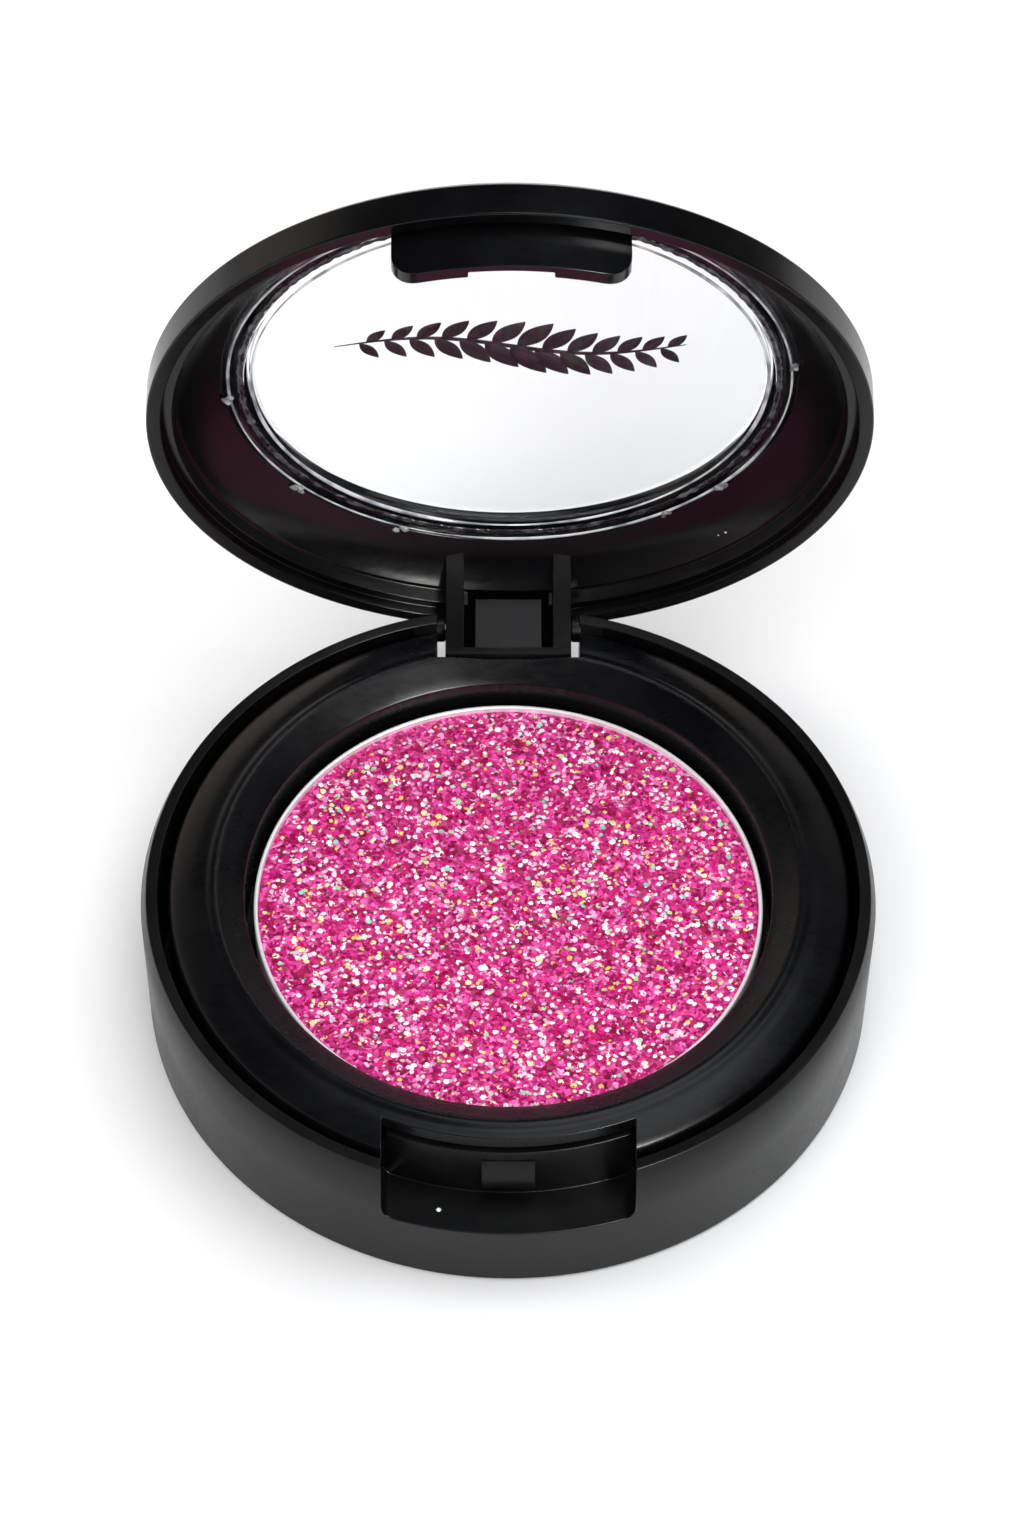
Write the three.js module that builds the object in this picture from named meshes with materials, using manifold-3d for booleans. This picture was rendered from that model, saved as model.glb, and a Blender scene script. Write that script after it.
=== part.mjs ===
// A round single-pan eyeshadow compact, standing open on its base.
// Millimetres, +Z up. The origin is the centre of the base's foot, +Y points to the hinge at the back.
// Lid pieces are drawn where they lie when the compact is shut, then swung open about the hinge pin.
import * as THREE from "three";
import { mergeVertices } from "three/addons/utils/BufferGeometryUtils.js";
import Module from "manifold-3d";

const wasm = await Module();
wasm.setup();

// ---- Driving dimensions ----
const SEGMENTS = 96; // facets in a full turn
const CLEARANCE = 0.3; // between pieces that are cut to fit each other
const SEATING_GAP = 0.05; // under a piece that rests on another

const BASE_RADIUS = 26;
const BASE_HEIGHT = 11;
const BASE_WALL = 1.2;
const BASE_FLOOR = 1.5;
const LABEL_RADIUS = 17.2;
const LABEL_THICKNESS = 0.2;

const TRAY_RADIUS = 24.05;
const TRAY_BEAD_Z = 12.3; // highest point of the crowned deck
const TRAY_UNDERSIDE_Z = 9.9;
const WELL_RADIUS = 18.65;
const WELL_FLOOR_Z = 6.6;

const PAN_RADIUS = 18.05;
const PAN_RIM_Z = 9.47;
const PAN_SHEET = 0.3;
const ADHESIVE_RADIUS = 9;
const ADHESIVE_THICKNESS = 0.2;

const NOTCH_HALF_WIDTH = 8.74; // thumb notch at the front
const NOTCH_LEDGE_Z = 6;
const NOTCH_DECK_RADIUS = 22.06; // where the notch cuts the tray's deck
const NOTCH_WALL_RADIUS = 22.35;
const NIB_HALF_WIDTH = 1.87; // catch nib on the notch's back wall
const NIB_RADIUS = 22.9;

const HINGE_Y = 24.15;
const HINGE_Z = 10;
const HINGE_NOTCH_HALF_WIDTH = 5.18;
const HINGE_NOTCH_FLOOR_Z = 4.6;
const HINGE_NOTCH_FRONT_Y = 20.25;
const EAR_HALF_WIDTH = 6.9; // outer side of the two ears that hold the pin
const PIN_RADIUS = 0.4;
const PIN_HALF_LENGTH = 6.6;
const PIN_CLEARANCE = 0.05;

const LID_RADIUS = 25.5;
const LID_RIM_Z = 11.45; // the shut lid's rim, a parting gap above the base
const LID_WALL = 1.15;
const LID_OPEN_ANGLE = THREE.MathUtils.degToRad(83.6);
const WINDOW_RADIUS = 18.55;
const FLANGE_SEAT_RADIUS = 20.3;
const FLANGE_SEAT_Z = 16.5;

const TAB_HALF_WIDTH = 8.1; // latch tab on the lid's front
const TAB_OUTER_RADIUS = 23.9;
const TAB_INNER_RADIUS = 22.75;
const TAB_END_Z = 8.3;
const TAB_CORNER_RADIUS = 1.9;
const TAB_RELIEF_HALF_WIDTH = 2.9;
const TAB_RELIEF_RADIUS = 23.3;

const BLOCK_HALF_WIDTH = 4.58; // hinge block on the lid's back
const BLOCK_POCKET_HALF_WIDTH = 3.23;
const BLOCK_POCKET_FLOOR_Y = 23.65;
const BLOCK_CROSSBAR_TOP_Z = 8.2;
const BLOCK_PANEL_HALF_WIDTH = 2.45;
const BLOCK_PANEL_Y = 23.2;
const BLOCK_PANEL_TOP_Z = 12.55;

const LENS_RADIUS = 18.35;
const LENS_FLANGE_RADIUS = 19.95;
const LENS_FLANGE_FACE_Z = 15.6;
const LENS_FACE_Z = 16.35;
const LENS_TOP_Z = 17.3;
const TACK_ANGLES_DEG = [174, 139, 113, 55, 40, -6]; // round the lens flange, from +X towards +Y
const TACK_RADIUS = 20;
const TACK_Z = 15.25;
const TACK_SIZE = { radial: 0.5, along: 0.7, high: 0.24 };

const FAR = 40; // past every surface, for cutting bodies

// ---- Materials ----
const satinBlack = new THREE.MeshStandardMaterial({ color: 0x17181a, roughness: 0.42 });
const glossBlack = new THREE.MeshStandardMaterial({ color: 0x0f1013, roughness: 0.3 });
const aluminium = new THREE.MeshStandardMaterial({ color: 0xc9c9cc, roughness: 0.3, metalness: 1 });
const steel = new THREE.MeshStandardMaterial({ color: 0x9a9b9e, roughness: 0.3, metalness: 1 });
const pinkGlitter = new THREE.MeshStandardMaterial({ color: 0xc92b86, roughness: 0.55 });
const clearPlastic = new THREE.MeshStandardMaterial({
  color: 0xe6e9ec,
  roughness: 0.08,
  transparent: true,
  opacity: 0.35,
});
const driedGlue = new THREE.MeshStandardMaterial({ color: 0xc9c6bd, roughness: 0.4 });
const adhesiveFilm = new THREE.MeshStandardMaterial({ color: 0xd8d2bf, roughness: 0.6 });
const labelPaper = new THREE.MeshStandardMaterial({ color: 0xd9d9d6, roughness: 0.6 });

// ---- Solids ----
function solidOf(geometry) {
  const bare = geometry.clone();
  bare.deleteAttribute("normal");
  bare.deleteAttribute("uv");
  const merged = mergeVertices(bare, 1e-4);
  return new wasm.Manifold(
    new wasm.Mesh({
      numProp: 3,
      vertProperties: merged.attributes.position.array,
      triVerts: new Uint32Array(merged.index.array),
    }),
  );
}

// A profile of [radius, z] points, anticlockwise, turned about Z. It ends on the axis or closes itself.
function turned(profile) {
  const points = profile.map(([radius, z]) => new THREE.Vector2(radius, z));
  const touchesAxis = points[0].x === 0 && points.at(-1).x === 0;
  if (!touchesAxis) points.push(points[0].clone());
  return solidOf(new THREE.LatheGeometry(points, SEGMENTS).rotateX(Math.PI / 2));
}

function ring(innerRadius, outerRadius, bottom, top) {
  return turned([
    [innerRadius, bottom],
    [outerRadius, bottom],
    [outerRadius, top],
    [innerRadius, top],
  ]);
}

function disc(radius, bottom, top) {
  return turned([
    [0, bottom],
    [radius, bottom],
    [radius, top],
    [0, top],
  ]);
}

function box([x0, x1], [y0, y1], [z0, z1]) {
  const geometry = new THREE.BoxGeometry(x1 - x0, y1 - y0, z1 - z0);
  return solidOf(geometry.translate((x0 + x1) / 2, (y0 + y1) / 2, (z0 + z1) / 2));
}

// An outline of [y, z] points, anticlockwise, carried along X.
function alongX(outline, x0, x1) {
  const shape = new THREE.Shape(outline.map(([y, z]) => new THREE.Vector2(y, z)));
  const geometry = new THREE.ExtrudeGeometry(shape, { depth: x1 - x0, bevelEnabled: false });
  const yzToWorld = new THREE.Matrix4().makeBasis(
    new THREE.Vector3(0, 1, 0),
    new THREE.Vector3(0, 0, 1),
    new THREE.Vector3(1, 0, 0),
  );
  return solidOf(geometry.applyMatrix4(yzToWorld).translate(x0, 0, 0));
}

// A slab centred on X with its two lower corners rounded, running the whole way forward from the axis.
function roundedSlabForward(halfWidth, bottom, top, corner) {
  const shape = new THREE.Shape()
    .moveTo(-halfWidth, top)
    .lineTo(-halfWidth, bottom + corner)
    .absarc(-halfWidth + corner, bottom + corner, corner, Math.PI, 1.5 * Math.PI, false)
    .absarc(halfWidth - corner, bottom + corner, corner, 1.5 * Math.PI, 2 * Math.PI, false)
    .lineTo(halfWidth, top);
  const geometry = new THREE.ExtrudeGeometry(shape, {
    depth: FAR,
    bevelEnabled: false,
    curveSegments: 5,
  });
  return solidOf(geometry.rotateX(Math.PI / 2));
}

function rodAlongX(radius, halfLength) {
  const geometry = new THREE.CylinderGeometry(radius, radius, 2 * halfLength, 24);
  return solidOf(geometry.rotateZ(Math.PI / 2).translate(0, HINGE_Y, HINGE_Z));
}

function named(name, solid, material) {
  const { numProp, numVert, vertProperties, triVerts } = solid.getMesh();
  const positions = new Float32Array(numVert * 3);
  for (let i = 0; i < numVert; i++) {
    positions.set(vertProperties.subarray(i * numProp, i * numProp + 3), i * 3);
  }
  const geometry = new THREE.BufferGeometry();
  geometry.setAttribute("position", new THREE.BufferAttribute(positions, 3));
  geometry.setIndex(new THREE.BufferAttribute(triVerts, 1));
  geometry.computeVertexNormals();
  const mesh = new THREE.Mesh(geometry, material);
  mesh.name = name;
  return mesh;
}

// ---- Base ----
// One moulded cup: round wall, floor with a label recess, the thumb notch's own little room with its
// catch nib, and the two ears and floor of the hinge notch.
function baseShell() {
  const innerRadius = BASE_RADIUS - BASE_WALL;
  const insideWall = innerRadius + 0.4;
  const labelRecess = LABEL_THICKNESS + SEATING_GAP;
  const cup = turned([
    [0, labelRecess],
    [LABEL_RADIUS + CLEARANCE, labelRecess],
    [LABEL_RADIUS + CLEARANCE, 0],
    [25.45, 0],
    [25.7, 0.25],
    [BASE_RADIUS, BASE_HEIGHT - 0.7],
    [BASE_RADIUS - 0.5, BASE_HEIGHT],
    [innerRadius, BASE_HEIGHT],
    [innerRadius, BASE_FLOOR],
    [0, BASE_FLOOR],
  ]);

  const wallRoot = BASE_FLOOR - 0.2;
  const backWallInner = NOTCH_WALL_RADIUS - 1.05;
  const roomTop = TRAY_UNDERSIDE_Z - CLEARANCE;
  const roomHalfWidth = NOTCH_HALF_WIDTH + 0.95;
  const room = ring(backWallInner, insideWall, wallRoot, roomTop)
    .intersect(box([-roomHalfWidth, roomHalfWidth], [-FAR, 0], [0, FAR]));
  const backWall = ring(backWallInner, NOTCH_WALL_RADIUS, wallRoot, BASE_HEIGHT - 0.35)
    .intersect(box([-NOTCH_HALF_WIDTH + CLEARANCE, NOTCH_HALF_WIDTH - CLEARANCE], [-FAR, 0], [0, FAR]));
  const notch = roundedSlabForward(NOTCH_HALF_WIDTH, NOTCH_LEDGE_Z, FAR, 0.8)
    .subtract(disc(NOTCH_WALL_RADIUS, 0, 2 * FAR));
  const nib = alongX(
    [
      [-NIB_RADIUS, 9],
      [-NIB_RADIUS, 8.2],
      [-NOTCH_WALL_RADIUS + 0.5, 8.2],
      [-NOTCH_WALL_RADIUS + 0.5, 9.8],
      [-NOTCH_WALL_RADIUS - 0.12, 9.8],
    ],
    -NIB_HALF_WIDTH,
    NIB_HALF_WIDTH,
  );

  const earOutline = [
    [HINGE_NOTCH_FRONT_Y, wallRoot],
    [insideWall, wallRoot],
    [insideWall, BASE_HEIGHT],
    [23.85, BASE_HEIGHT],
    [23.45, HINGE_Z],
    [23.2, roomTop - 0.1],
    [HINGE_NOTCH_FRONT_Y, roomTop - 0.1],
  ];
  const hingeRoom = alongX(earOutline, -EAR_HALF_WIDTH, EAR_HALF_WIDTH)
    .intersect(disc(insideWall, 0, FAR));
  const hingeNotch = box(
    [-HINGE_NOTCH_HALF_WIDTH, HINGE_NOTCH_HALF_WIDTH],
    [HINGE_NOTCH_FRONT_Y - 1, FAR],
    [HINGE_NOTCH_FLOOR_Z, FAR],
  );

  return cup
    .add(room)
    .add(backWall)
    .subtract(notch)
    .add(nib)
    .add(hingeRoom)
    .subtract(hingeNotch)
    .subtract(rodAlongX(PIN_RADIUS + PIN_CLEARANCE, PIN_HALF_LENGTH + SEATING_GAP));
}

// The inner tray: a crowned deck, a bead, a short cone and the round well that holds the pan.
function trayInsert() {
  const skirtInner = TRAY_RADIUS - 1.1;
  const wellOuter = WELL_RADIUS + 1;
  const tray = turned([
    [0, WELL_FLOOR_Z - 1],
    [wellOuter, WELL_FLOOR_Z - 1],
    [wellOuter, TRAY_UNDERSIDE_Z],
    [skirtInner, TRAY_UNDERSIDE_Z],
    [skirtInner, BASE_FLOOR + SEATING_GAP],
    [TRAY_RADIUS, BASE_FLOOR + SEATING_GAP],
    [TRAY_RADIUS, BASE_HEIGHT],
    [23.5, 11.38],
    [22.7, 11.76],
    [21.9, 12.05],
    [21.3, 12.22],
    [20.9, TRAY_BEAD_Z],
    [20.55, 12.2],
    [WELL_RADIUS, 11.05],
    [WELL_RADIUS, WELL_FLOOR_Z],
    [0, WELL_FLOOR_Z],
  ]);

  const pocketInner = NOTCH_WALL_RADIUS - 1.05 - CLEARANCE;
  const deckCut = box([-NOTCH_HALF_WIDTH, NOTCH_HALF_WIDTH], [-FAR, 0], [0, FAR])
    .subtract(disc(NOTCH_DECK_RADIUS, 0, 2 * FAR));
  const roomCut = box([-NOTCH_HALF_WIDTH - 1.3, NOTCH_HALF_WIDTH + 1.3], [-FAR, 0], [0, TRAY_UNDERSIDE_Z])
    .subtract(disc(pocketInner, 0, 2 * FAR));
  const wallCut = box([-NOTCH_HALF_WIDTH, NOTCH_HALF_WIDTH], [-FAR, 0], [0, BASE_HEIGHT - 0.05])
    .subtract(disc(pocketInner, 0, 2 * FAR));

  const hingeCut = box(
    [-HINGE_NOTCH_HALF_WIDTH, HINGE_NOTCH_HALF_WIDTH],
    [HINGE_NOTCH_FRONT_Y, FAR],
    [0, FAR],
  );
  const earCut = alongX(
    [
      [HINGE_NOTCH_FRONT_Y - CLEARANCE, 0],
      [FAR, 0],
      [FAR, FAR],
      [23.5, FAR],
      [23.45, 10.5],
      [23.05, 9.8],
      [HINGE_NOTCH_FRONT_Y - CLEARANCE, 9.8],
    ],
    -EAR_HALF_WIDTH - CLEARANCE,
    EAR_HALF_WIDTH + CLEARANCE,
  );
  return tray.subtract(deckCut).subtract(roomCut).subtract(wallCut).subtract(hingeCut).subtract(earCut);
}

// ---- What the tray holds ----
const ADHESIVE_Z = WELL_FLOOR_Z + SEATING_GAP;
const PAN_Z = ADHESIVE_Z + ADHESIVE_THICKNESS + SEATING_GAP;

function pan() {
  return turned([
    [0, PAN_Z],
    [PAN_RADIUS - PAN_SHEET, PAN_Z],
    [PAN_RADIUS, PAN_Z + PAN_SHEET],
    [PAN_RADIUS, PAN_RIM_Z],
    [PAN_RADIUS - PAN_SHEET, PAN_RIM_Z],
    [PAN_RADIUS - PAN_SHEET, PAN_Z + PAN_SHEET],
    [0, PAN_Z + PAN_SHEET],
  ]);
}

function pressedGlitter() {
  const radius = PAN_RADIUS - PAN_SHEET - SEATING_GAP;
  return turned([
    [0, PAN_Z + PAN_SHEET + SEATING_GAP],
    [radius, PAN_Z + PAN_SHEET + SEATING_GAP],
    [radius, PAN_RIM_Z - 0.35],
    [radius - 1.2, PAN_RIM_Z - 0.22],
    [0, PAN_RIM_Z - 0.15],
  ]);
}

// ---- Lid ----
// One moulded ring with a domed shoulder round the window, the latch tab and the hinge block.
function lidShell() {
  const innerRadius = LID_RADIUS - LID_WALL;
  const dome = turned([
    [innerRadius, LID_RIM_Z],
    [LID_RADIUS - 0.3, LID_RIM_Z],
    [LID_RADIUS, LID_RIM_Z + 0.4],
    [LID_RADIUS, 13.6],
    [25.3, 14.2],
    [24.6, 15],
    [23.4, 15.75],
    [21.8, 16.45],
    [20.2, 16.95],
    [WINDOW_RADIUS, LENS_TOP_Z + SEATING_GAP],
    [WINDOW_RADIUS, FLANGE_SEAT_Z],
    [FLANGE_SEAT_RADIUS, FLANGE_SEAT_Z],
    [FLANGE_SEAT_RADIUS, 15.75],
    [21.8, 14.85],
    [22.9, 13.95],
    [23.6, 13.2],
    [23.65, LID_RIM_Z + 0.95],
    [innerRadius, LID_RIM_Z + 0.85],
  ]);

  const tab = ring(TAB_INNER_RADIUS, TAB_OUTER_RADIUS, TAB_END_Z, 14.2)
    .intersect(roundedSlabForward(TAB_HALF_WIDTH, TAB_END_Z, FAR, TAB_CORNER_RADIUS));
  const relief = box([-TAB_RELIEF_HALF_WIDTH, TAB_RELIEF_HALF_WIDTH], [-FAR, 0], [0, 11.2])
    .intersect(disc(TAB_RELIEF_RADIUS, 0, FAR));

  const block = alongX(
    [
      [20.9, 15.9],
      [22.95, BLOCK_CROSSBAR_TOP_Z],
      [23.05, 7.7],
      [23.35, 7.35],
      [23.8, 7.2],
      [24.6, 7.2],
      [25.1, 7.7],
      [25.3, 8.6],
      [LID_RADIUS, 11.6],
      [24.9, 13.9],
      [22.2, 15.9],
    ],
    -BLOCK_HALF_WIDTH,
    BLOCK_HALF_WIDTH,
  ).intersect(disc(LID_RADIUS, 0, FAR));
  const pocket = box(
    [-BLOCK_POCKET_HALF_WIDTH, BLOCK_POCKET_HALF_WIDTH],
    [0, BLOCK_POCKET_FLOOR_Y],
    [BLOCK_CROSSBAR_TOP_Z, FAR],
  );
  const panel = box(
    [-BLOCK_PANEL_HALF_WIDTH, BLOCK_PANEL_HALF_WIDTH],
    [BLOCK_PANEL_Y, BLOCK_POCKET_FLOOR_Y + 0.6],
    [BLOCK_CROSSBAR_TOP_Z - 0.2, BLOCK_PANEL_TOP_Z],
  );

  return dome
    .add(tab.subtract(relief))
    .add(block.subtract(pocket))
    .add(panel)
    .subtract(rodAlongX(PIN_RADIUS + PIN_CLEARANCE, BLOCK_HALF_WIDTH + 0.4));
}

// The clear window: a plate that fills the lid's opening, with a stepped flange glued inside it.
function windowLens() {
  return turned([
    [0, LENS_FACE_Z],
    [17.9, LENS_FACE_Z],
    [18.2, LENS_FLANGE_FACE_Z],
    [LENS_FLANGE_RADIUS, LENS_FLANGE_FACE_Z],
    [LENS_FLANGE_RADIUS, FLANGE_SEAT_Z - 2 * SEATING_GAP],
    [LENS_RADIUS, FLANGE_SEAT_Z - 2 * SEATING_GAP],
    [LENS_RADIUS, LENS_TOP_Z],
    [0, LENS_TOP_Z],
  ]);
}

// A blob of dried glue across the edge of the lens flange.
function glueTack(angleDeg) {
  const geometry = new THREE.SphereGeometry(1, 10, 6)
    .scale(TACK_SIZE.radial, TACK_SIZE.along, TACK_SIZE.high)
    .translate(TACK_RADIUS, 0, TACK_Z)
    .rotateZ(THREE.MathUtils.degToRad(angleDeg));
  return solidOf(geometry);
}

// ---- Assembly ----
const compact = new THREE.Group();
compact.add(
  named("base_shell", baseShell(), satinBlack),
  named("tray_insert", trayInsert(), satinBlack),
  named("pan_adhesive", disc(ADHESIVE_RADIUS, ADHESIVE_Z, ADHESIVE_Z + ADHESIVE_THICKNESS), adhesiveFilm),
  named("pan", pan(), aluminium),
  named("pressed_glitter", pressedGlitter(), pinkGlitter),
  named("base_label", disc(LABEL_RADIUS, 0, LABEL_THICKNESS), labelPaper),
  named("hinge_pin", rodAlongX(PIN_RADIUS, PIN_HALF_LENGTH), steel),
);

const lid = new THREE.Group(); // turns about the pin
lid.position.set(0, HINGE_Y, HINGE_Z);
lid.rotation.x = -LID_OPEN_ANGLE;
const shutFrame = new THREE.Group(); // holds the lid's pieces in the shut compact's own coordinates
shutFrame.position.set(0, -HINGE_Y, -HINGE_Z);
shutFrame.add(
  named("lid_shell", lidShell(), glossBlack),
  named("window_lens", windowLens(), clearPlastic),
);
TACK_ANGLES_DEG.forEach((angle, index) => {
  shutFrame.add(named(`lens_glue_tack_${index + 1}`, glueTack(angle), driedGlue));
});
lid.add(shutFrame);
compact.add(lid);

export default compact;
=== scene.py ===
import bmesh
import bpy
import numpy as np
from mathutils import Matrix, Vector


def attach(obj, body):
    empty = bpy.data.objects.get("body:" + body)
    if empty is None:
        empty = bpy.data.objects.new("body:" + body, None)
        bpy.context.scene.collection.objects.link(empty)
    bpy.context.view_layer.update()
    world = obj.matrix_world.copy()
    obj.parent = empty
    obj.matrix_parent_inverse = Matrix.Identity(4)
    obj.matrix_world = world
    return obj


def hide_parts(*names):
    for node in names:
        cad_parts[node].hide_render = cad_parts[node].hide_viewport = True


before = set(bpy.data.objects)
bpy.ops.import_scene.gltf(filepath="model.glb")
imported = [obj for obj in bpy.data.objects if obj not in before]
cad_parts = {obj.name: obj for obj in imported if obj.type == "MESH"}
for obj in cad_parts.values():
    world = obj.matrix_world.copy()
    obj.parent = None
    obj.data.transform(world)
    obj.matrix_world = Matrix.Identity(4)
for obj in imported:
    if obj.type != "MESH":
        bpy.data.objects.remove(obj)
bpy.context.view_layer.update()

scene = bpy.context.scene

# ---- Camera ----
# A long lens looks down on the open compact from just left of its front, so that the pan, the lid's hollow
# and the thumb notch all show. The first three rows are the directions of its right, its up and its back.
CAMERA_RIGHT = (0.999983, -0.000695, 0.005290)
CAMERA_UP = (-0.0027175, 0.7871518, 0.6167500)
CAMERA_BACK = (-0.0045915, -0.6167518, 0.7871400)
CAMERA_PLACE = (-0.0019135, -0.2812248, 0.3839850)

camera_data = bpy.data.cameras.new("camera")
camera_data.sensor_width = 36
camera_data.lens = 154.81
camera_data.clip_start = 0.01
camera_data.clip_end = 20
camera = bpy.data.objects.new("camera", camera_data)
scene.collection.objects.link(camera)
camera.matrix_world = Matrix(
    [[*across, 0] for across in zip(CAMERA_RIGHT, CAMERA_UP, CAMERA_BACK)] + [[0, 0, 0, 1]]
)
camera.matrix_world.translation = Vector(CAMERA_PLACE)
scene.camera = camera
scene.view_settings.view_transform = "Standard"

# ---- Table, room and lamps ----
# A plain pale table top. The room glows warm low down behind the compact and to its left, is dim overhead and
# on the right, and is white where the eye sees it, so that black plastic stays black and only its turned
# edges catch light.
TABLE_HALF = 3
TABLE_TOP = -0.00002
floor_mesh = bpy.data.meshes.new("table_top")
table_corners = ((-1, -1), (1, -1), (1, 1), (-1, 1))
floor_mesh.from_pydata(
    [(x * TABLE_HALF, y * TABLE_HALF, TABLE_TOP) for x, y in table_corners], [], [(0, 1, 2, 3)]
)
floor = bpy.data.objects.new("table_top", floor_mesh)
scene.collection.objects.link(floor)
floor_paint = bpy.data.materials.new("table_white")
floor_paint.use_nodes = True
floor_shader = floor_paint.node_tree.nodes["Principled BSDF"]
floor_shader.inputs["Base Color"].default_value = (0.9, 0.9, 0.9, 1)
floor_shader.inputs["Roughness"].default_value = 0.9
floor_shader.inputs["Specular IOR Level"].default_value = 0.1
floor_mesh.materials.append(floor_paint)

room = bpy.data.worlds.new("studio")
room.use_nodes = True
scene.world = room
room_nodes = room.node_tree.nodes
room_links = room.node_tree.links
room_nodes.clear()
direction = room_nodes.new("ShaderNodeTexCoord")
parts = room_nodes.new("ShaderNodeSeparateXYZ")
room_links.new(direction.outputs["Generated"], parts.inputs[0])
height_ramp = room_nodes.new("ShaderNodeValToRGB")
height_ramp.color_ramp.elements[0].position = 0.0
height_ramp.color_ramp.elements[0].color = (0.84, 0.76, 0.70, 1)
height_ramp.color_ramp.elements[1].position = 0.66
height_ramp.color_ramp.elements[1].color = (0.018, 0.020, 0.024, 1)
for position, colour in (
    (0.30, (0.90, 0.76, 0.68, 1)),
    (0.45, (0.62, 0.52, 0.46, 1)),
    (0.55, (0.06, 0.06, 0.06, 1)),
):
    height_ramp.color_ramp.elements.new(position).color = colour
room_links.new(parts.outputs["Z"], height_ramp.inputs["Fac"])
toward_light = room_nodes.new("ShaderNodeVectorMath")
toward_light.operation = "DOT_PRODUCT"
toward_light.inputs[1].default_value = (-0.80, 0.60, 0.0)
room_links.new(direction.outputs["Generated"], toward_light.inputs[0])
side_ramp = room_nodes.new("ShaderNodeMapRange")
side_ramp.interpolation_type = "SMOOTHSTEP"
side_ramp.inputs["From Min"].default_value = -0.5
side_ramp.inputs["From Max"].default_value = 0.9
room_links.new(toward_light.outputs["Value"], side_ramp.inputs["Value"])
sides = room_nodes.new("ShaderNodeMix")
sides.data_type = "RGBA"
sides.inputs["A"].default_value = (0.035, 0.040, 0.048, 1)
room_links.new(side_ramp.outputs["Result"], sides.inputs["Factor"])
room_links.new(height_ramp.outputs["Color"], sides.inputs["B"])
for_eye = room_nodes.new("ShaderNodeMix")
for_eye.data_type = "RGBA"
for_eye.inputs["B"].default_value = (1, 1, 1, 1)
ray = room_nodes.new("ShaderNodeLightPath")
room_links.new(ray.outputs["Is Camera Ray"], for_eye.inputs["Factor"])
room_links.new(sides.outputs["Result"], for_eye.inputs["A"])
glow = room_nodes.new("ShaderNodeBackground")
room_links.new(for_eye.outputs["Result"], glow.inputs["Color"])
room_out = room_nodes.new("ShaderNodeOutputWorld")
room_links.new(glow.outputs[0], room_out.inputs[0])


def softbox(name, place, aim, size, watts, colour, in_gloss):
    """A square lamp of that side length at place, shining at aim; in_gloss says if polish mirrors it."""
    data = bpy.data.lights.new(name, "AREA")
    data.size = size
    data.energy = watts
    data.color = colour
    lamp = bpy.data.objects.new(name, data)
    lamp.location = place
    lamp.rotation_euler = (Vector(aim) - Vector(place)).to_track_quat("-Z", "Y").to_euler()
    lamp.visible_glossy = in_gloss
    lamp.visible_camera = False
    scene.collection.objects.link(lamp)
    return lamp


NEUTRAL = (0.985, 0.99, 1)
key = softbox("key_softbox", (0.34, -0.50, 0.53), (0, 0, 0.01), 0.15, 9.0, (1, 0.985, 0.965), True)
key.visible_diffuse = False
softbox("overhead_softbox", (0.25, 0.06, 1.12), (0, 0, 0), 0.75, 4.2, (0.96, 0.98, 1), True)
softbox("room_fill", (0.30, 0.35, 1.0), (0, 0, 0), 1.4, 8.6, NEUTRAL, False)
softbox("front_fill", (-0.2, -0.8, 0.9), (0, 0, 0), 1.2, 13.2, NEUTRAL, False)

# ---- Base shell ----
# One moulded cup of black plastic: a round wall with a chamfered rim, the thumb notch with its ledge, back
# wall and catch nib at the front, and two ears for the hinge pin at the back. Sizes here and below are in
# millimetres, turned into metres at the end.
BASE_RADIUS = 26
BASE_HEIGHT = 11.3
RIM_INNER = 24.8
CUP_FLOOR = 1.5
NOTCH_HALF = 8.74
NOTCH_LEDGE = 6
NOTCH_CORNER = 0.8
NOTCH_WALL = 22.35
NOTCH_WALL_TOP = 10.65
NOTCH_BACK = 21.3
NOTCH_TOP = NOTCH_LEDGE + NOTCH_CORNER
NIB_HALF = 1.87
ROOM_HALF = 9.69
ROOM_TOP = 9.6
EAR_HALF = 6.9
EAR_TOP = 9.5
BOSS_RADIUS = 0.905
BOSS_Y = 24.46
BOSS_Z = 10.24
BOSS_FACES = (4.61, 5.3)
SLOT_HALF = 5.18
SLOT_FLOOR = 4.6
SLOT_FRONT = 20.25
EDGE_ROUND = 0.09
CRISP_ANGLE = 28


def quads(*corners):
    """Four-sided faces from four arrays of point numbers, one array for each corner."""
    return np.stack(corners, -1).reshape(-1, 4).tolist()


def front(x):
    """The upright plane at x, as the angle rule of a column on the front side."""
    return 0.0, 1.0, x


def front_again(x):
    """The same plane once a full turn has been made."""
    return 2 * np.pi, 1.0, x


def rear(x):
    """The upright plane at x, as the angle rule of a column on the rear side."""
    return np.pi, -1.0, x


def rows_of(profile, count):
    """A profile of [reach, height, flat] rows, repeated for count columns unless it already has columns."""
    profile = np.asarray(profile, float)
    if profile.ndim == 2:
        profile = np.broadcast_to(profile, (count, *profile.shape))
    return profile


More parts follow.
